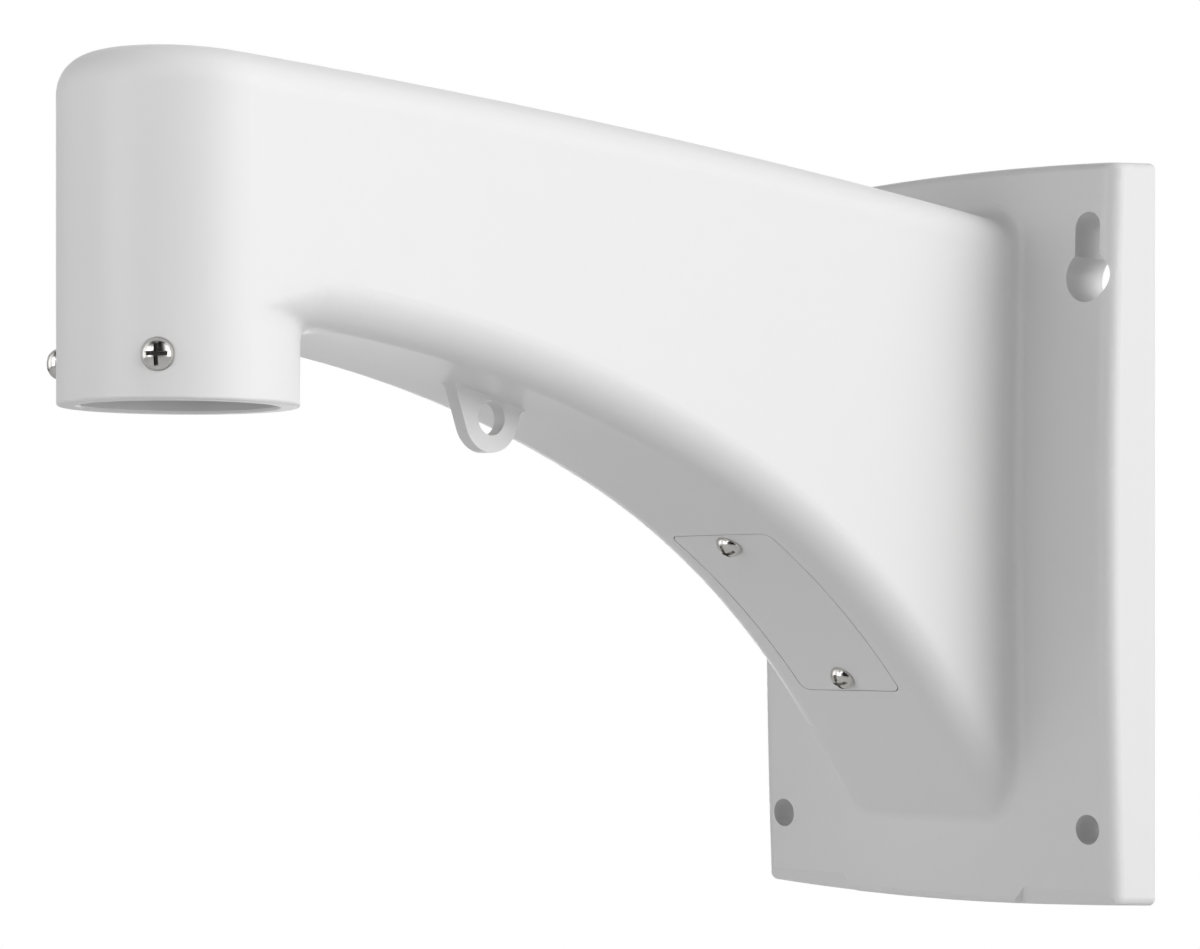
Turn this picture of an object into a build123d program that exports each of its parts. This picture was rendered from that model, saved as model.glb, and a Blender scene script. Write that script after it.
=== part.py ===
from build123d import *
from math import acos, cos, degrees, hypot, radians, sin, sqrt, tan
import os

# A wall bracket for a security camera: one hollow die-cast body with a wall plate, an arm and a
# downward tube, a cover over its cable opening and four pan-head screws.
# Millimetres. The wall is the plane Y=0, the arm reaches out along -Y, +Z is up, and the origin
# is the middle of the plate's back. The bracket is symmetric about X=0.

# Wall plate
plate_width = 134.2
plate_height = 207.5
plate_depth = 18.8            # wall to the top of the crowned front
plate_crown_radius = 2000.0   # the front bulges up and down its height
plate_top_bow = 922.0         # radius of the bowed top edge
plate_bottom_bow = 1000.0
plate_draft = 4.0             # degrees, all four sides lean in towards the front
plate_side_round = 4.8        # front edge down both sides
plate_end_round = 2.2         # the other edges round the top and the bottom
plate_rim = 5.0               # thickness of the rim round the hollow back
plate_web = 5.5               # thickness of the front wall
pocket_corner_radius = 4.0

# Chamfers on the lower front edge, one at each side
chamfer_height = 6.5
chamfer_depth = 4.8
chamfer_inner_x = 34.5        # where a chamfer starts, measured at its top line
chamfer_end_run = 6.0         # its inner end slants this much towards the middle

# Screw holes of the plate
hole_inset = 9.6              # from a side of the plate, all four fixings
lower_hole_rise = 23.25       # above the plate's bottom
lower_hole_diameter = 8.2
keyhole_drop = 33.75          # entries below the plate's top
keyhole_entry_diameter = 14.2
keyhole_slot_width = 8.5
keyhole_slot_rise = 13.3      # from the middle of the entry to the middle of the slot's end
boss_wall = 4.5               # metal round a hole
boss_setback = 2.0            # the bosses stop short of the wall
rib_thickness = 3.0
rib_setback = 3.0             # and so do the ribs
middle_ribs = 2               # cross ribs between those at the lower holes and at the keyholes

# Tube
tube_reach = 277.1            # wall to the tube's axis
tube_diameter = 56.2
bore_diameter = 46.1          # machined, a little wider than the cast passage
bore_depth = 22.0
mouth_z = 25.6
mouth_round = 0.8
mouth_chamfer = 0.6
tube_overlap = 4.0            # how far the tube and its bore run on inside the arm

# Arm, seen from the side
casting_wall = 5.5            # of the cast passage
arm_spread = 0.86             # degrees, each side leans out towards the wall
arm_top_z = 106.0             # at the tube's axis
arm_top_slope = 1.7           # degrees, there
arm_top_radius = 3345.0
arm_bottom_z = 46.1           # at the tube's axis
arm_bottom_slope = 4.6        # degrees, there
arm_bottom_run = 26.0         # straight run behind the tube
bend_radius_outer = 382.0     # first bend of the underside
bend_angle_outer = 19.2
bend_radius_inner = 238.3     # second bend, which carries the cover
bend_angle_inner = 24.8
arm_top_round = 9.0
arm_bottom_round = 10.0
root_fillet = 4.5             # where the arm grows out of the plate
run_out_length = 21.5         # the lower rounding dies away over this length beside the tube
run_out_overlap = 1.18        # how far that stretch is modelled, in run-out lengths

# Safety eye under the arm
eye_distance = 94.0           # behind the tube's axis
eye_z = 27.0
eye_hole_diameter = 8.8
eye_rim = 4.3
eye_thickness = 4.0
eye_root_length = 27.0
eye_root_fillet = 1.2
eye_root_overlap = 4.0        # how far the eye runs on into the wall above it

# Cover of the cable opening
cover_length = 67.0           # along the bend
cover_width = 36.6
cover_thickness = 2.2
cover_corner_radius = 2.5
cover_to_bend_end = 6.4       # along the bend, lower end of the cover to the end of the bend
cover_gap = 0.3
gasket_thickness = 1.0
ledge_side = 5.0
ledge_end = 10.5
pad_wall = 3.0                # metal outside the recess, inside the arm
pad_depth = 8.0               # thickness of the wall where it carries the cover

# Screws, M4 with pan heads
screw_diameter = 4.0
screw_head_diameter = 7.4
screw_head_height = 3.0       # of the dome
cross_width = 1.0
cross_span = 4.9              # at the floor of the recess
cross_depth = 1.6
cross_flare = 26.5            # degrees, the ends of the recess lean outwards
cover_screw_length = 7.0
cover_screw_inset = 5.0       # along the bend, from an end of the cover
mouth_screw_setback = 0.1     # the tips of these end this short of the bore
mouth_screw_rise = 10.1       # above the mouth
mouth_screw_angle = 45.0      # degrees, from the front
spot_face_clearance = 0.4     # on diameter
mouth_spot_margin = 0.05      # flats in the round metal seat the whole head and go this much deeper
cover_spot_depth = 0.1
screw_tip_chamfer = 0.5
screw_head_flat = 1.6         # diameter of the flat on the crown of a head
mouth_screw_turn = 45.0       # degrees, the left one's cross stands askew
screw_hole_clearance = 0.4    # on diameter, through the cover and its seal
thread_clearance = 0.1        # on diameter, in the tapped casting

# Places that follow from the sizes
tube_y = -tube_reach
tube_radius = tube_diameter / 2
plate_top_z = plate_height / 2
plate_bottom_z = -plate_height / 2
hole_x = plate_width / 2 - hole_inset
lower_hole_z = plate_bottom_z + lower_hole_rise
keyhole_entry_z = plate_top_z - keyhole_drop
top_centre = (
    tube_y - arm_top_radius * sin(radians(arm_top_slope)),
    arm_top_z - arm_top_radius * cos(radians(arm_top_slope)),
)
bend_start = (
    tube_y + arm_bottom_run * cos(radians(arm_bottom_slope)),
    arm_bottom_z - arm_bottom_run * sin(radians(arm_bottom_slope)),
)
angle_middle = arm_bottom_slope + bend_angle_outer
angle_end = angle_middle + bend_angle_inner
cover_end_angle = angle_end - degrees(cover_to_bend_end / bend_radius_inner)
cover_start_angle = cover_end_angle - degrees(cover_length / bend_radius_inner)
cover_middle_angle = (cover_start_angle + cover_end_angle) / 2
spot_radius = (screw_head_diameter + spot_face_clearance) / 2
mouth_seat_radius = sqrt(tube_radius**2 - spot_radius**2) - mouth_spot_margin
mouth_screw_length = mouth_seat_radius - bore_diameter / 2 - mouth_screw_setback


def step(point, length, angle):
    """The point that lies this far off, at this many degrees from +Z towards +Y."""
    return point[0] + length * sin(radians(angle)), point[1] + length * cos(radians(angle))


outer_bend_centre = step(bend_start, -bend_radius_outer, arm_bottom_slope)
bend_middle = step(outer_bend_centre, bend_radius_outer, angle_middle)
inner_bend_centre = step(bend_middle, -bend_radius_inner, angle_middle)
bend_end = step(inner_bend_centre, bend_radius_inner, angle_end)


def front_y(z):
    """How far out the crowned front of the plate stands at a height."""
    return -plate_depth + plate_crown_radius - sqrt(plate_crown_radius**2 - z**2)


def plate_outline(inset, y):
    """The plate's outline in a plane parallel to the wall, drawn in by inset."""
    half = plate_width / 2 - inset
    top = plate_top_z - inset
    bottom = plate_bottom_z + inset
    top_drop = half**2 / (2 * plate_top_bow)
    bottom_rise = half**2 / (2 * plate_bottom_bow)
    corners = [(-half, bottom + bottom_rise), (half, bottom + bottom_rise),
               (half, top - top_drop), (-half, top - top_drop)]
    wire = Wire([
        Edge.make_three_point_arc(corners[0] + (0,), (0, bottom, 0), corners[1] + (0,)),
        Edge.make_line(corners[1] + (0,), corners[2] + (0,)),
        Edge.make_three_point_arc(corners[2] + (0,), (0, top, 0), corners[3] + (0,)),
        Edge.make_line(corners[3] + (0,), corners[0] + (0,)),
    ])
    return Plane(origin=(0, y, 0), x_dir=(1, 0, 0), z_dir=(0, -1, 0)) * make_face(wire.edges())


def underside(inset, end_y):
    """The edges of the arm's underside in the plane X=0, moved up into the arm by inset."""
    def at(point):
        return 0, point[0], point[1]

    axis = step((tube_y, arm_bottom_z), inset, arm_bottom_slope)
    start = step(axis, tube_diameter, arm_bottom_slope - 90)
    outer = bend_radius_outer + inset
    inner = bend_radius_inner + inset
    bend_1 = [step(outer_bend_centre, outer, arm_bottom_slope + bend_angle_outer * t) for t in (0, 0.5, 1)]
    bend_2 = [step(inner_bend_centre, inner, angle_middle + bend_angle_inner * t) for t in (0, 0.5, 1)]
    end = (end_y, bend_2[2][1] - (end_y - bend_2[2][0]) * tan(radians(angle_end)))
    return [
        Edge.make_line(at(start), at(bend_1[0])),
        Edge.make_three_point_arc(*[at(p) for p in bend_1]),
        Edge.make_three_point_arc(*[at(p) for p in bend_2]),
        Edge.make_line(at(bend_2[2]), at(end)),
    ]


def top_z(y, inset=0.0):
    """The height of the arm's top at a distance from the wall."""
    return top_centre[1] + sqrt((arm_top_radius - inset) ** 2 - (y - top_centre[0]) ** 2)


def side_profile(inset, end_y):
    """The arm's outline from the side, drawn in by inset and open at no side."""
    bottom = underside(inset, end_y)
    first = bottom[0] @ 0
    last = bottom[-1] @ 1
    top_front = (0, first.Y, top_z(first.Y, inset))
    top_end = (0, end_y, top_z(end_y, inset))
    top_middle_y = (first.Y + end_y) / 2
    top = Edge.make_three_point_arc(top_end, (0, top_middle_y, top_z(top_middle_y, inset)), top_front)
    return make_face(bottom + [
        Edge.make_line(last, top_end),
        top,
        Edge.make_line(top_front, first),
    ])


def side_point(inset):
    """Where a side of the arm leaves the tube's circle, seen from above."""
    radius = tube_radius - inset
    return radius * cos(radians(arm_spread)), tube_y - radius * sin(radians(arm_spread))


def plan_outline(inset, end_y):
    """The arm's outline from above: round at the tube, spreading towards the wall."""
    x, y = side_point(inset)
    end_x = x + (end_y - y) * tan(radians(arm_spread))
    return make_face([
        Edge.make_line((x, y, 0), (end_x, end_y, 0)),
        Edge.make_line((end_x, end_y, 0), (-end_x, end_y, 0)),
        Edge.make_line((-end_x, end_y, 0), (-x, y, 0)),
        Edge.make_three_point_arc((-x, y, 0), (0, tube_y - tube_radius + inset, 0), (x, y, 0)),
    ])


def sharp_arm(inset, end_y):
    """The arm before its edges are rounded."""
    side = extrude(side_profile(inset, end_y), amount=plate_width, dir=(1, 0, 0), both=True)
    plan = extrude(plan_outline(inset, end_y), amount=plate_height, dir=(0, 0, 1), both=True)
    return side & plan


def long_edges(arm, upward, end_y):
    """The outer edges of the arm's top or underside, without the cross edges."""
    found = []
    for face in arm.faces():
        normal = face.normal_at()
        if (normal.Z > 0.5) if upward else (normal.Z < -0.3):
            for edge in face.edges():
                middle = edge @ 0.5
                crosses = edge.geom_type == GeomType.LINE and abs(middle.X) < 1
                if not crosses and abs(middle.Y - end_y) > 1:
                    found.append(edge)
    return found


def rounded_arm(inset, end_y):
    """The arm with its upper and lower edges rounded."""
    arm = sharp_arm(inset, end_y)
    arm = fillet(long_edges(arm, True, end_y), arm_top_round - inset)
    return fillet(long_edges(arm, False, end_y), arm_bottom_round - inset)


def run_out_section(distance):
    """What the rounding takes off the lower right edge, this far behind the tube."""
    spread = radians(arm_spread)
    slope = radians(arm_bottom_slope)
    x, y = side_point(0)
    apex = Vector(x, y, arm_bottom_z - (y - tube_y) * tan(slope))
    outward = Vector(cos(spread), -sin(spread), 0)
    along = Vector(sin(spread), cos(spread), -cos(spread) * tan(slope)).normalized()
    plane = Plane(origin=apex + along * distance, x_dir=outward, z_dir=along)
    radius = arm_bottom_round * distance / run_out_length
    margin = 3.0
    middle = radius * (1 - sqrt(0.5))
    outline = make_face([
        Edge.make_line((0, -radius, 0), (margin, -radius, 0)),
        Edge.make_line((margin, -radius, 0), (margin, margin, 0)),
        Edge.make_line((margin, margin, 0), (-radius, margin, 0)),
        Edge.make_line((-radius, margin, 0), (-radius, 0, 0)),
        Edge.make_three_point_arc((-radius, 0, 0), (-middle, -middle, 0), (0, -radius, 0)),
    ])
    return plane * outline


def run_out():
    """The arm beside the tube, where its lower rounding dies away to nothing."""
    past_end = run_out_overlap * run_out_length
    tip = 0.01 * run_out_length
    cutter = loft([run_out_section(tip), run_out_section(past_end)], ruled=True)
    length = past_end - 1
    height = arm_bottom_round + 1.5
    region = Pos(0, side_point(0)[1] + length / 2 - 5, arm_bottom_z) * Box(plate_width, length + 10, 2 * height)
    return (sharp_arm(0, tube_y + 2 * tube_radius) & region) - cutter - mirror(cutter, Plane.YZ)


def front_face(block):
    """The large face that looks away from the wall."""
    return [face for face in block.faces() if face.normal_at().Y < -0.9][0]


def plate_body():
    """The wall plate as a solid block, with its draft, crown, rounded edges and chamfers."""
    back = plate_outline(0, 0)
    block = extrude(back, amount=plate_depth + 1, taper=plate_draft)
    crown = Pos(0, plate_crown_radius - plate_depth, 0) * Rot(0, 90, 0) * Cylinder(
        plate_crown_radius, 2 * plate_width
    )
    block = block & crown
    side_edges = [e for e in front_face(block).edges() if abs((e @ 0.5).X) > plate_width / 4]
    block = fillet(side_edges, plate_side_round)
    end_edges = [
        e for e in block.edges()
        if abs((e @ 0.5).Z) > plate_height / 2 - 6 and min((e @ 0).Y, (e @ 1).Y) < -1
    ]
    block = fillet(end_edges, plate_end_round)
    return block - chamfer_cutter() - mirror(chamfer_cutter(), Plane.YZ)


def chamfer_cutter():
    """What the chamfer takes off the right half of the lower front edge."""
    top_line = plate_bottom_z + chamfer_height
    front = front_y(top_line)
    reach = 12.0
    slope = chamfer_depth / chamfer_height
    profile = make_face([
        Edge.make_line((0, front, top_line), (0, front + slope * reach, top_line - reach)),
        Edge.make_line((0, front + slope * reach, top_line - reach), (0, front - reach, top_line - reach)),
        Edge.make_line((0, front - reach, top_line - reach), (0, front, top_line)),
    ])
    slab = extrude(profile, amount=plate_width, dir=(1, 0, 0))
    inner_x = chamfer_inner_x
    low_x = inner_x - chamfer_end_run * reach / chamfer_height
    end = make_face([
        Edge.make_line((inner_x, 0, top_line), (plate_width, 0, top_line)),
        Edge.make_line((plate_width, 0, top_line), (plate_width, 0, top_line - reach)),
        Edge.make_line((plate_width, 0, top_line - reach), (low_x, 0, top_line - reach)),
        Edge.make_line((low_x, 0, top_line - reach), (inner_x, 0, top_line)),
    ])
    return slab & extrude(end, amount=2 * plate_depth, dir=(0, -1, 0))


def tube_body():
    """The tube from its mouth up into the arm, with its mouth rounded."""
    height = arm_bottom_z + arm_bottom_round + tube_overlap - mouth_z
    tube = Pos(0, tube_y, mouth_z + height / 2) * Cylinder(tube_radius, height)
    return fillet(tube.edges().sort_by(Axis.Z)[0], mouth_round)


def safety_eye():
    """The eye under the arm, a flat lug with a round end."""
    centre_y = tube_y + eye_distance
    outer = eye_hole_diameter / 2 + eye_rim
    lug = Plane.YZ * make_hull(
        (Pos(centre_y, eye_z) * Circle(outer)).edges()
        + (Pos(centre_y, eye_z + outer + eye_root_overlap) * Rectangle(eye_root_length, 1)).edges()
    )
    return extrude(lug, amount=eye_thickness / 2, both=True)


def solid_casting():
    """The casting before it is hollowed."""
    arm = rounded_arm(0, -plate_depth / 2) + run_out() + tube_body()
    body = plate_body() + arm
    body = fillet(root_edges(body), root_fillet)
    body = body + safety_eye()
    return fillet(eye_root_edges(body), eye_root_fillet)


def root_edges(body):
    """The line where the arm meets the front of the plate."""
    found = []
    for edge in body.edges():
        middle = edge @ 0.5
        on_front = abs(middle.Y - front_y(middle.Z)) < 0.05
        within = abs(middle.X) < plate_width / 3 and plate_bottom_z + 15 < middle.Z < plate_top_z - 10
        if on_front and within:
            found.append(edge)
    return found


def eye_root_edges(body):
    """The line where the eye meets the underside of the arm."""
    found = []
    for edge in body.edges():
        middle = edge @ 0.5
        along = abs(middle.Y - tube_y - eye_distance) < eye_root_length
        across = abs(middle.X) < eye_thickness / 2 + 0.1
        radius = hypot(middle.Y - outer_bend_centre[0], middle.Z - outer_bend_centre[1])
        if along and across and abs(radius - bend_radius_outer) < 0.05:
            found.append(edge)
    return found


def straight_through(radius, x, z, depth_from, depth_to):
    """A round bar square to the wall, between two distances from it."""
    length = depth_to - depth_from
    return Pos(x, -depth_from - length / 2, z) * Rot(90, 0, 0) * Cylinder(radius, length)


def keyhole(grow, depth_from, depth_to):
    """The right keyhole as a solid, grown on all sides, between two distances from the wall."""
    x = hole_x
    slot_z = keyhole_entry_z + keyhole_slot_rise
    half = keyhole_slot_width / 2 + grow
    length = depth_to - depth_from
    entry = straight_through(keyhole_entry_diameter / 2 + grow, x, keyhole_entry_z, depth_from, depth_to)
    end = straight_through(half, x, slot_z, depth_from, depth_to)
    slot = Pos(x, -depth_from - length / 2, keyhole_entry_z + keyhole_slot_rise / 2) * Box(
        2 * half, length, keyhole_slot_rise
    )
    return entry + slot + end


def plate_pocket():
    """The hollow in the plate's back, inside its rim and behind its front wall."""
    outline = plate_outline(plate_rim, 0)
    pocket = extrude(outline, amount=plate_depth, taper=plate_draft)
    corner_edges = [
        e for e in pocket.edges()
        if (e @ 0).Y != (e @ 1).Y and abs((e @ 0.5).X) > plate_width / 4
    ]
    pocket = fillet(corner_edges, pocket_corner_radius)
    crown = Pos(0, plate_crown_radius - plate_depth, 0) * Rot(0, 90, 0) * Cylinder(
        plate_crown_radius - plate_web, 2 * plate_width
    )
    return pocket & crown


def passage_frame(grow, depth_from, depth_to):
    """The cable passage where it runs straight through the plate, grown on all sides."""
    y = -plate_depth + plate_web
    half = side_point(casting_wall)[0] + (y - tube_y) * tan(radians(arm_spread)) + grow
    low = (underside(casting_wall, y)[-1] @ 1).Z - grow
    high = top_z(y, casting_wall) + grow
    length = depth_to - depth_from
    frame = Pos(0, -depth_from - length / 2, (low + high) / 2) * Box(2 * half, length, high - low)
    radius = arm_bottom_round - casting_wall + grow
    return fillet(frame.edges().filter_by(Axis.Y), radius)


def plate_ribs():
    """The ribs, bosses and passage wall that stand in the plate's hollow back."""
    length = plate_depth - rib_setback
    parts = passage_frame(casting_wall, 0, plate_depth)
    rib_pitch = (keyhole_entry_z - lower_hole_z) / (middle_ribs + 1)
    for i in range(middle_ribs + 2):
        z = lower_hole_z + i * rib_pitch
        parts += Pos(0, -rib_setback - length / 2, z) * Box(plate_width, length, rib_thickness)
    for side in (-1, 1):
        parts += Pos(side * hole_x, -rib_setback - length / 2, 0) * Box(rib_thickness, length, plate_height)
        boss_radius = lower_hole_diameter / 2 + boss_wall
        parts += straight_through(boss_radius, side * hole_x, lower_hole_z, boss_setback, plate_depth)
    key_boss = keyhole(boss_wall, boss_setback, plate_depth)
    return parts + key_boss + mirror(key_boss, Plane.YZ)


def passage():
    """The hollow of the arm and the tube, open at the mouth and at the wall."""
    arm = rounded_arm(casting_wall, -plate_depth + plate_web)
    radius = tube_radius - casting_wall
    top = arm_bottom_z + arm_bottom_round + tube_overlap
    cast = Pos(0, tube_y, (mouth_z + top) / 2) * Cylinder(radius, top - mouth_z)
    bore = Pos(0, tube_y, mouth_z + bore_depth / 2) * Cylinder(bore_diameter / 2, bore_depth)
    lead_in = Pos(0, tube_y, mouth_z + mouth_chamfer / 2) * Cone(
        bore_diameter / 2 + mouth_chamfer, bore_diameter / 2, mouth_chamfer
    )
    return arm + cast + bore + lead_in + passage_frame(0, -1, plate_depth - plate_web)


def bend_block(from_depth, to_depth, width, grow, corner_radius):
    """A block that follows the bend under the arm, between two depths in its wall.

    It is as long as the cover, and grow makes it longer at each end.
    """
    grow_angle = degrees(grow / bend_radius_inner)
    angles = (cover_start_angle - grow_angle, cover_middle_angle, cover_end_angle + grow_angle)
    low = [step(inner_bend_centre, bend_radius_inner + from_depth, a) for a in angles]
    high = [step(inner_bend_centre, bend_radius_inner + to_depth, a) for a in angles]
    face = make_face([
        Edge.make_three_point_arc(*[(0, y, z) for y, z in low]),
        Edge.make_line((0, *low[2]), (0, *high[2])),
        Edge.make_three_point_arc(*[(0, y, z) for y, z in reversed(high)]),
        Edge.make_line((0, *high[0]), (0, *low[0])),
    ])
    block = extrude(face, amount=width / 2, dir=(1, 0, 0), both=True)
    corners = [
        e for e in block.edges()
        if e.geom_type == GeomType.LINE and abs((e @ 0).X - (e @ 1).X) < 0.01
    ]
    return fillet(corners, corner_radius)


def cable_opening():
    """The opening that the cover closes, right through the arm's wall."""
    width = cover_width - 2 * ledge_side
    return bend_block(-1, pad_depth + 1, width, -ledge_end, cover_corner_radius)


def cover_screw_places():
    """Where the two screws of the cover seat, with +Z of each place along the screw, outwards."""
    places = []
    for angle in (
        cover_start_angle + degrees(cover_screw_inset / bend_radius_inner),
        cover_end_angle - degrees(cover_screw_inset / bend_radius_inner),
    ):
        y, z = step(inner_bend_centre, bend_radius_inner + cover_spot_depth, angle)
        outward = (0, -sin(radians(angle)), -cos(radians(angle)))
        places.append(Plane(origin=(0, y, z), x_dir=(1, 0, 0), z_dir=outward).location)
    return places


def mouth_screw_places():
    """Where the right and left screws of the mouth seat."""
    places = []
    for side in (1, -1):
        angle = radians(mouth_screw_angle)
        outward = Vector(side * sin(angle), -cos(angle), 0)
        seat = Vector(0, tube_y, mouth_z + mouth_screw_rise) + outward * mouth_seat_radius
        places.append(Plane(origin=seat, x_dir=(0, 0, 1), z_dir=outward).location)
    return places


def upright(radius, low, high):
    """A round bar along Z between two heights."""
    return Pos(0, 0, (low + high) / 2) * Cylinder(radius, high - low)


def cross_arm():
    """One arm of the recess, narrower across its floor than at the top of the head."""
    floor = screw_head_height - cross_depth
    top = screw_head_height + 1
    low = cross_span / 2
    high = low + (top - floor) * tan(radians(cross_flare))
    profile = make_face([
        Edge.make_line((-low, 0, floor), (low, 0, floor)),
        Edge.make_line((low, 0, floor), (high, 0, top)),
        Edge.make_line((high, 0, top), (-high, 0, top)),
        Edge.make_line((-high, 0, top), (-low, 0, floor)),
    ])
    return extrude(profile, amount=cross_width / 2, dir=(0, 1, 0), both=True)


def screw(length):
    """A screw with a domed head and a cross recess, its head on the plane Z=0 and its shank below."""
    head_radius = screw_head_diameter / 2
    shank_radius = (screw_diameter - thread_clearance) / 2
    flat_radius = screw_head_flat / 2
    flat_angle = degrees(acos(flat_radius / head_radius))
    dome = Edge.make_ellipse(head_radius, screw_head_height, Plane.XZ, 0, flat_angle)
    if (dome @ 0).Z < (dome @ 1).Z:
        foot, crown = dome @ 0, dome @ 1
    else:
        foot, crown = dome @ 1, dome @ 0
    profile = make_face([
        Edge.make_line((0, 0, -length), (shank_radius - screw_tip_chamfer, 0, -length)),
        Edge.make_line(
            (shank_radius - screw_tip_chamfer, 0, -length), (shank_radius, 0, screw_tip_chamfer - length)
        ),
        Edge.make_line((shank_radius, 0, screw_tip_chamfer - length), (shank_radius, 0, 0)),
        Edge.make_line((shank_radius, 0, 0), foot),
        dome,
        Edge.make_line(crown, (0, 0, crown.Z)),
        Edge.make_line((0, 0, crown.Z), (0, 0, -length)),
    ])
    body = revolve(profile, Axis.Z)
    return body - cross_arm() - Rot(0, 0, 90) * cross_arm()


def casting():
    """The whole casting: plate, arm, tube and eye, hollow and drilled."""
    body = solid_casting() - (plate_pocket() - plate_ribs())
    body -= passage()
    body += bend_block(
        cover_thickness / 2, pad_depth, cover_width + 2 * (cover_gap + pad_wall), cover_gap + pad_wall,
        cover_corner_radius + cover_gap + pad_wall,
    )
    recess_depth = cover_thickness + gasket_thickness
    body -= bend_block(
        -1, recess_depth, cover_width + 2 * cover_gap, cover_gap, cover_corner_radius + cover_gap
    )
    body -= cable_opening()
    for side in (-1, 1):
        body -= straight_through(lower_hole_diameter / 2, side * hole_x, lower_hole_z, -1, plate_depth + 1)
    key = keyhole(0, -1, plate_depth + 1)
    body = body - key - mirror(key, Plane.YZ)
    eye_y = tube_y + eye_distance
    body -= Pos(0, eye_y, eye_z) * Rot(0, 90, 0) * Cylinder(eye_hole_diameter / 2, 2 * eye_thickness)
    for place in cover_screw_places():
        body -= place * upright(screw_diameter / 2, -pad_depth - 2, 0)
    for place in mouth_screw_places():
        body -= place * upright(spot_radius, 0, 2)
        body -= place * upright(screw_diameter / 2, -casting_wall - 2, 0)
    return body


def cover():
    """The cover, flush with the arm's underside."""
    body = bend_block(0, cover_thickness, cover_width, 0, cover_corner_radius)
    hole_radius = (screw_diameter + screw_hole_clearance) / 2
    for place in cover_screw_places():
        body -= place * upright(spot_radius, 0, 2)
        body -= place * upright(hole_radius, -cover_thickness - 1, 1)
    return body


def gasket():
    """The flat seal under the cover, a frame round the cable opening."""
    depth = cover_thickness + gasket_thickness
    body = bend_block(cover_thickness, depth, cover_width, 0, cover_corner_radius) - cable_opening()
    hole_radius = (screw_diameter + screw_hole_clearance) / 2
    for place in cover_screw_places():
        body -= place * upright(hole_radius, -depth - 1, 1)
    return body


def main():
    os.makedirs("parts", exist_ok=True)
    pieces = {
        "bracket_casting": casting(),
        "cover_plate": cover(),
        "cover_gasket": gasket(),
    }
    for name, place in zip(("cover_screw_upper", "cover_screw_lower"), cover_screw_places()):
        pieces[name] = place * screw(cover_screw_length)
    right_place, left_place = mouth_screw_places()
    pieces["mouth_screw_right"] = right_place * screw(mouth_screw_length)
    pieces["mouth_screw_left"] = left_place * Rot(0, 0, mouth_screw_turn) * screw(mouth_screw_length)
    for name, piece in pieces.items():
        export_step(piece, f"parts/{name}.step")


main()
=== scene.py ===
from math import cos, radians, sin

import bmesh
import bpy
import numpy as np
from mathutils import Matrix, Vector


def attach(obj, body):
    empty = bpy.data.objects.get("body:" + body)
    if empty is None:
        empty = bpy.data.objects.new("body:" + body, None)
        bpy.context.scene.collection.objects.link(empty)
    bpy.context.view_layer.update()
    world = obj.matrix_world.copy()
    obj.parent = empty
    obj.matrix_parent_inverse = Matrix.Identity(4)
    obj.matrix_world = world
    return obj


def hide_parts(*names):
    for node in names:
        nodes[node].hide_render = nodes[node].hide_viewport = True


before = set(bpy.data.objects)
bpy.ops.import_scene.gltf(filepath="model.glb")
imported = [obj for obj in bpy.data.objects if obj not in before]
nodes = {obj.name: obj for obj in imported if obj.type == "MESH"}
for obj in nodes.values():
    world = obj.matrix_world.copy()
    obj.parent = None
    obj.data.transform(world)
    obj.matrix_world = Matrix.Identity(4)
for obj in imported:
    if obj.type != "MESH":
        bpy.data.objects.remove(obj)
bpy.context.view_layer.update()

MM = 0.001


def linear(hex_colour):
    """The linear colour of an sRGB hex value such as 'e6e6e4'."""
    parts = [int(hex_colour[i:i + 2], 16) / 255 for i in (0, 2, 4)]
    return tuple(c / 12.92 if c <= 0.04045 else ((c + 0.055) / 1.055) ** 2.4 for c in parts) + (1.0,)


# Camera: level with the plate's lower half, looking square to its own axis, with the frame shifted up

CAMERA_PLACE = Vector((638.25, -731.25, -25.23)) * MM
CAMERA_TURN = 0.827249        # radians about Z, from looking along +Y
PHOTO_WIDTH = 1200            # pixels
FOCAL_PIXELS = 3350.55
HORIZON_BELOW_CENTRE = 151.9  # pixels
SENSOR = 36.0                 # mm

camera = bpy.data.objects.new("camera", bpy.data.cameras.new("camera"))
bpy.context.scene.collection.objects.link(camera)
bpy.context.scene.camera = camera
camera.location = CAMERA_PLACE
camera.rotation_euler = (radians(90), 0, CAMERA_TURN)
camera.data.sensor_width = SENSOR
camera.data.lens = SENSOR * FOCAL_PIXELS / PHOTO_WIDTH
camera.data.shift_y = HORIZON_BELOW_CENTRE / PHOTO_WIDTH
camera.data.clip_start = 0.01


# Node trees

def add(tree, kind, values=None, links=None, **settings):
    """Adds a node and sets its attributes, its input values and its links, the last two by input."""
    node = tree.nodes.new(kind)
    for name, value in settings.items():
        setattr(node, name, value)
    for target, value in (values or {}).items():
        node.inputs[target].default_value = value
    for target, source in (links or {}).items():
        tree.links.new(source, node.inputs[target])
    return node


def new_material(name):
    """A material with an empty node tree, its tree and its output node."""
    material = bpy.data.materials.new(name)
    material.use_nodes = True
    tree = material.node_tree
    tree.nodes.clear()
    return material, tree, tree.nodes.new("ShaderNodeOutputMaterial")


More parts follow.
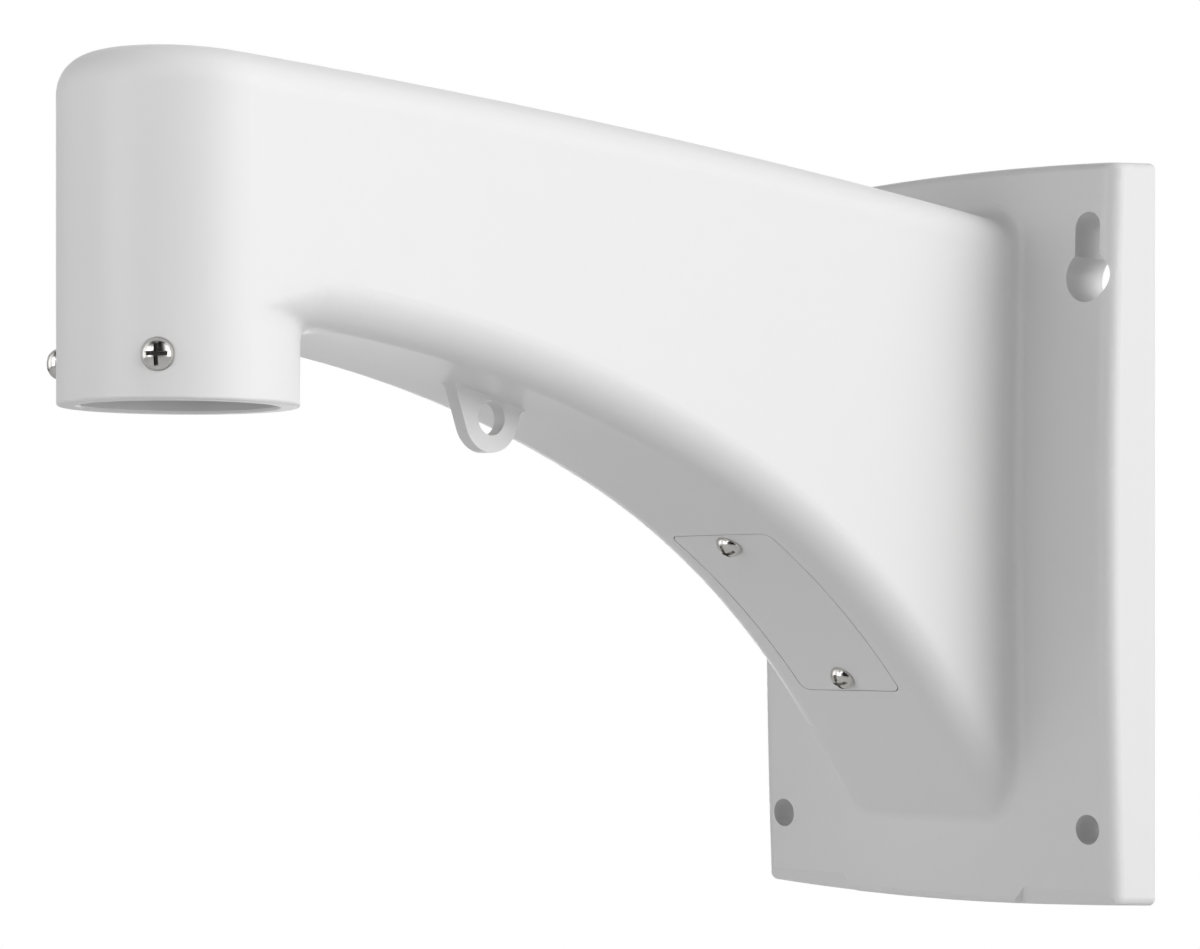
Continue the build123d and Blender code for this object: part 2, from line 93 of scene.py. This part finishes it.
def powder_coat():
    """White polyester powder coat on die-cast aluminium: satin, with a very fine orange peel."""
    material, tree, output = new_material("white_powder_coat")
    place = add(tree, "ShaderNodeTexCoord").outputs["Object"]
    peel_size = 0.9 * MM      # real orange peel is about 0.6 mm, drawn coarser so that it shows
    peel = add(tree, "ShaderNodeTexNoise", {"Scale": 1 / peel_size, "Detail": 2}, {"Vector": place})
    cloud_size = 60 * MM      # slow unevenness of the coat's thickness
    cloud = add(tree, "ShaderNodeTexNoise", {"Scale": 1 / cloud_size, "Detail": 2}, {"Vector": place})
    amount = cloud.outputs["Fac"]
    rough = add(tree, "ShaderNodeMapRange", {"To Min": 0.40, "To Max": 0.50}, {"Value": amount})
    tones = {6: linear("dfdfdf"), 7: linear("e2e2e2")}
    tone = add(tree, "ShaderNodeMix", tones, {"Factor": amount}, data_type="RGBA")
    height = {"Strength": 0.06, "Distance": 0.05 * MM}
    bump = add(tree, "ShaderNodeBump", height, {"Height": peel.outputs["Fac"]})
    shader = add(tree, "ShaderNodeBsdfPrincipled", {"IOR": 1.5}, {
        "Base Color": tone.outputs[2],
        "Roughness": rough.outputs["Result"],
        "Normal": bump.outputs["Normal"],
    })
    tree.links.new(shader.outputs["BSDF"], output.inputs["Surface"])
    return material


def bright_steel():
    """A2 stainless steel, cold headed and tumbled bright: mirror-like with faint grain."""
    material, tree, output = new_material("bright_stainless_steel")
    place = add(tree, "ShaderNodeTexCoord").outputs["Object"]
    grain_size = 0.25 * MM
    grain = add(tree, "ShaderNodeTexNoise", {"Scale": 1 / grain_size, "Detail": 3}, {"Vector": place})
    rough = add(tree, "ShaderNodeMapRange", {"To Min": 0.12, "To Max": 0.24}, {"Value": grain.outputs["Fac"]})
    metal = {"Base Color": linear("cfcdca"), "Metallic": 1.0}
    shader = add(tree, "ShaderNodeBsdfPrincipled", metal, {"Roughness": rough.outputs["Result"]})
    tree.links.new(shader.outputs["BSDF"], output.inputs["Surface"])
    return material


def seal_rubber():
    """Black EPDM seal, moulded, matt with a slight bloom."""
    material, tree, output = new_material("epdm_rubber")
    place = add(tree, "ShaderNodeTexCoord").outputs["Object"]
    bloom_size = 3 * MM
    bloom = add(tree, "ShaderNodeTexNoise", {"Scale": 1 / bloom_size, "Detail": 3}, {"Vector": place})
    tones = {6: linear("1c1c1c"), 7: linear("2a2a2a")}
    tone = add(tree, "ShaderNodeMix", tones, {"Factor": bloom.outputs["Fac"]}, data_type="RGBA")
    shader = add(tree, "ShaderNodeBsdfPrincipled", {"Roughness": 0.75}, {"Base Color": tone.outputs[2]})
    tree.links.new(shader.outputs["BSDF"], output.inputs["Surface"])
    return material


def dress(node_name, material):
    """Gives a CAD node one material."""
    slots = nodes[node_name].material_slots
    if not slots:
        nodes[node_name].data.materials.append(material)
    for slot in nodes[node_name].material_slots:
        slot.material = material


coat = powder_coat()
steel = bright_steel()
dress("cover_plate", coat)
dress("cover_gasket", seal_rubber())
for screw in ("cover_screw_upper", "cover_screw_lower", "mouth_screw_right", "mouth_screw_left"):
    dress(screw, steel)


def grid_mesh(name, points, material):
    """A mesh from a rows x columns x 3 array of points, each row joined to the next."""
    rows, columns = points.shape[:2]
    index = np.arange(rows * columns).reshape(rows, columns)
    quads = np.stack([index[:-1, :-1], index[:-1, 1:], index[1:, 1:], index[1:, :-1]], -1).reshape(-1, 4)
    mesh = bpy.data.meshes.new(name)
    mesh.from_pydata(points.reshape(-1, 3).tolist(), [], quads.tolist())
    mesh.materials.append(material)
    thing = bpy.data.objects.new(name, mesh)
    bpy.context.scene.collection.objects.link(thing)
    return thing


# The casting, eased where the arm's lower rounding runs out beside the tube

TUBE_Y = -277.1 * MM
TUBE_RADIUS = 28.1 * MM
SKIN_SHARE = 0.97                     # of that radius, outside which a point is on the tube's skin
PASSAGE_HALF_WIDTH = 25 * MM
PASSAGE_FLOOR = 47.5 * MM
EASED_X = (-29 * MM, 29.1 * MM)       # the stretch that is cut finer
EASED_Y = (-283 * MM, -240 * MM)
EASED_Z = (38 * MM, 66 * MM)
CUT_STEP = 0.9 * MM
EASING_ROUNDS = 40                    # each spreads the easing further, about 3 mm in all
# The easing comes in and goes out over these lengths
IN_Y, OUT_Y = (-281 * MM, -272 * MM), (-250 * MM, -242 * MM)
IN_Z, OUT_Z = (38.5 * MM, 42 * MM), (60 * MM, 65.5 * MM)


def smooth_step(low, high, value):
    """0 below low, 1 above high, and 3t^2 - 2t^3 between."""
    t = np.clip((value - low) / (high - low), 0, 1)
    return t * t * (3 - 2 * t)


def on_outer_skin(x, y, z):
    """True for points outside the tube's bore and the arm's passage."""
    in_passage = np.logical_and(abs(x) < PASSAGE_HALF_WIDTH, z > PASSAGE_FLOOR)
    outside_tube = np.hypot(x, y - TUBE_Y) > SKIN_SHARE * TUBE_RADIUS
    return np.logical_and(outside_tube, np.logical_not(in_passage))


def to_be_eased(face):
    """True for a face of the outer skin that lies in the stretch to be cut finer."""
    x, y, z = face.calc_center_median()
    return EASED_Y[0] < y < EASED_Y[1] and EASED_Z[0] < z < EASED_Z[1] and on_outer_skin(x, y, z)


def cut(bm, faces, normal, distances):
    """Cuts faces by planes square to normal at each distance from the origin, and gives their pieces."""
    geometry = list({v for f in faces for v in f.verts} | {e for f in faces for e in f.edges}) + faces
    for distance in distances:
        geometry = bmesh.ops.bisect_plane(
            bm, geom=geometry, dist=1e-7, plane_co=Vector(normal) * distance, plane_no=normal
        )["geom"]
    return [item for item in geometry if isinstance(item, bmesh.types.BMFace)]


def eased_casting(node):
    """A merged copy of the casting, cut finer beside the tube and eased there by averaging neighbours."""
    mesh = node.data.copy()
    normals = np.empty(len(mesh.loops) * 3, np.float32)
    mesh.corner_normals.foreach_get("vector", normals)
    mesh.attributes.new("cad_normal", "FLOAT_VECTOR", "CORNER").data.foreach_set("vector", normals)
    bm = bmesh.new()
    bm.from_mesh(mesh)
    bmesh.ops.remove_doubles(bm, verts=bm.verts, dist=1e-6)
    cut(bm, list(bm.faces), (0, 1, 0), EASED_Y)
    cut(bm, list(bm.faces), (0, 0, 1), EASED_Z)
    zone = [face for face in bm.faces if to_be_eased(face)]
    zone = cut(bm, zone, (1, 0, 0), np.arange(*EASED_X, CUT_STEP))
    zone = cut(bm, zone, (0, 1, 0), np.arange(*EASED_Y, CUT_STEP)[1:])
    zone = cut(bm, zone, (0, 0, 1), np.arange(*EASED_Z, CUT_STEP)[1:])
    bmesh.ops.triangulate(bm, faces=bm.faces)
    bm.to_mesh(mesh)
    bm.free()

    points = np.empty(len(mesh.vertices) * 3)
    mesh.vertices.foreach_get("co", points)
    points = points.reshape(-1, 3)
    edges = np.empty(len(mesh.edges) * 2, int)
    mesh.edges.foreach_get("vertices", edges)
    first, second = edges.reshape(-1, 2).T
    x, y, z = points.T
    weight = on_outer_skin(x, y, z) * smooth_step(*IN_Y, y) * (1 - smooth_step(*OUT_Y, y))
    weight *= smooth_step(*IN_Z, z) * (1 - smooth_step(*OUT_Z, z))
    count = np.bincount(first, minlength=len(points)) + np.bincount(second, minlength=len(points))
    for _ in range(EASING_ROUNDS):
        sums = np.zeros_like(points)
        np.add.at(sums, first, points[second])
        np.add.at(sums, second, points[first])
        points += 0.5 * weight[:, None] * (sums / np.maximum(count, 1)[:, None] - points)
    mesh.vertices.foreach_set("co", points.ravel())
    mesh.update()

    corners = np.empty(len(mesh.loops), int)
    mesh.loops.foreach_get("vertex_index", corners)
    kept = np.empty(len(mesh.loops) * 3, np.float32)
    mesh.attributes["cad_normal"].data.foreach_get("vector", kept)
    round_about = np.empty(len(mesh.vertices) * 3, np.float32)
    mesh.vertex_normals.foreach_get("vector", round_about)
    share = np.clip(4 * weight, 0, 1)[corners][:, None]
    mixed = (1 - share) * kept.reshape(-1, 3) + share * round_about.reshape(-1, 3)[corners]
    mixed /= np.linalg.norm(mixed, axis=1)[:, None]
    mesh.attributes.remove(mesh.attributes["cad_normal"])
    mesh.shade_smooth()
    mesh.normals_split_custom_set(mixed)
    mesh.materials.clear()
    mesh.materials.append(coat)
    casting = bpy.data.objects.new("casting_skin", mesh)
    bpy.context.scene.collection.objects.link(casting)
    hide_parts("bracket_casting")
    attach(casting, "root")
    return casting


eased_casting(nodes["bracket_casting"])


# Studio

def pale_floor():
    """Matt off-white studio paper, which the camera sees through from below and paler than it is lit."""
    material, tree, output = new_material("studio_paper")
    seen = add(tree, "ShaderNodeLightPath").outputs["Is Camera Ray"]
    lift = add(tree, "ShaderNodeMath", {1: 0.35}, {0: seen}, operation="MULTIPLY").outputs[0]
    values = {"Base Color": linear("f2f2f2"), "Roughness": 0.9, "Emission Color": linear("f2f2f2")}
    paper = add(tree, "ShaderNodeBsdfPrincipled", values, {"Emission Strength": lift})
    below = add(tree, "ShaderNodeNewGeometry").outputs["Backfacing"]
    hidden = add(tree, "ShaderNodeMath", None, {0: below, 1: seen}, operation="MULTIPLY").outputs[0]
    clear = add(tree, "ShaderNodeBsdfTransparent")
    sheet = add(tree, "ShaderNodeMixShader", None, {0: hidden, 1: paper.outputs[0], 2: clear.outputs[0]})
    tree.links.new(sheet.outputs["Shader"], output.inputs["Surface"])
    return material


FLOOR_Z = -0.34
FLOOR_RADIUS = 1.9
# A disc of two rings, drawn clockwise so that its faces look up
angle = np.linspace(2 * np.pi, 0, 97)[None, :]
reach = np.array([0.0, 0.5, 1.0])[:, None] * FLOOR_RADIUS
floor_points = np.stack([reach * np.cos(angle), reach * np.sin(angle), FLOOR_Z + 0 * reach * angle], -1)
floor = grid_mesh("studio_floor", floor_points, pale_floor())


def soft_light(name, place, target, size, power):
    """A square area light that faces its target."""
    light = bpy.data.lights.new(name, "AREA")
    light.size = size
    light.energy = power
    thing = bpy.data.objects.new(name, light)
    bpy.context.scene.collection.objects.link(thing)
    thing.location = place
    thing.rotation_euler = (Vector(target) - Vector(place)).to_track_quat("-Z", "Y").to_euler()
    thing.visible_camera = False
    return thing


MIDDLE = (0, -0.15, 0)
TUBE = (0, -0.28, 0.08)
soft_light("top_back_light", (0.4, 0.9, 1.4), MIDDLE, 0.8, 1.8)
soft_light("low_back_light", (-0.8, 0.5, -0.18), MIDDLE, 0.25, 0.63)
# Three weak lights close by make the tube brighter than the plate behind it
soft_light("near_front_light", (0, -1.0, 0.1), TUBE, 0.25, 0.66)
soft_light("near_right_light", (0.25, -0.75, 0.35), TUBE, 0.25, 0.51)
soft_light("near_left_light", (-0.15, -0.8, 0.3), TUBE, 0.25, 0.24)

world = bpy.data.worlds.new("studio")
bpy.context.scene.world = world
world.use_nodes = True
sky = world.node_tree
sky.nodes.clear()
way = add(sky, "ShaderNodeTexCoord").outputs["Generated"]


def glow(direction, turn, rise, strength, narrowness=8.0):
    """A soft light in the sky: strength times a power of the cosine to its middle."""
    turn, rise = radians(turn), radians(rise)
    middle = (cos(rise) * cos(turn), cos(rise) * sin(turn), sin(rise))
    cosine = add(sky, "ShaderNodeVectorMath", {1: middle}, {0: direction}, operation="DOT_PRODUCT")
    ahead = add(sky, "ShaderNodeMath", {1: 0.0}, {0: cosine.outputs["Value"]}, operation="MAXIMUM")
    shape = add(sky, "ShaderNodeMath", {1: narrowness}, {0: ahead.outputs[0]}, operation="POWER")
    return add(sky, "ShaderNodeMath", {1: strength}, {0: shape.outputs[0]}, operation="MULTIPLY").outputs[0]


def total(first, *others):
    """The sum of several strengths."""
    for other in others:
        first = add(sky, "ShaderNodeMath", None, {0: first, 1: other}, operation="ADD").outputs[0]
    return first


# The soft light comes from the right, behind the wall's plane, with fill from the left front and above.
# Reflections see the same sides as tall panels with dark between, which gives bright metal its contrast,
# and a far wall that keeps the upper edges from going dark.
window = glow(way, 25, 10, 4.5)
fill = glow(way, -120, 10, 1.38)
overhead = glow(way, 45, 50, 1.4)
squeezed = add(sky, "ShaderNodeVectorMath", {1: (1, 1, 0.35)}, {0: way}, operation="MULTIPLY")
level_way = add(sky, "ShaderNodeVectorMath", None, {0: squeezed.outputs[0]}, operation="NORMALIZE").outputs[0]
right_panel = glow(level_way, 32, 0, 3.6, 12.0)
left_panel = glow(level_way, -92, 0, 3.2, 24.0)
far_left_panel = glow(level_way, -140, 0, 1.8, 12.0)
far_wall = glow(way, 137, 20, 1.3, 4.0)
path = add(sky, "ShaderNodeLightPath")
white = {"Color": (1, 1, 1, 1), "Strength": 1.0}
panels = total(right_panel, left_panel, far_left_panel, far_wall)
soft = add(sky, "ShaderNodeBackground", white, {"Strength": total(window, fill, overhead)})
glossy = add(sky, "ShaderNodeBackground", white, {"Strength": panels})
backdrop = add(sky, "ShaderNodeBackground", white)
lit = add(sky, "ShaderNodeMixShader", None, {
    0: path.outputs["Is Glossy Ray"],
    1: soft.outputs["Background"],
    2: glossy.outputs["Background"],
})
both = add(sky, "ShaderNodeMixShader", None, {
    0: path.outputs["Is Camera Ray"],
    1: lit.outputs["Shader"],
    2: backdrop.outputs["Background"],
})
add(sky, "ShaderNodeOutputWorld", None, {"Surface": both.outputs["Shader"]})
bpy.context.scene.view_settings.view_transform = "Standard"
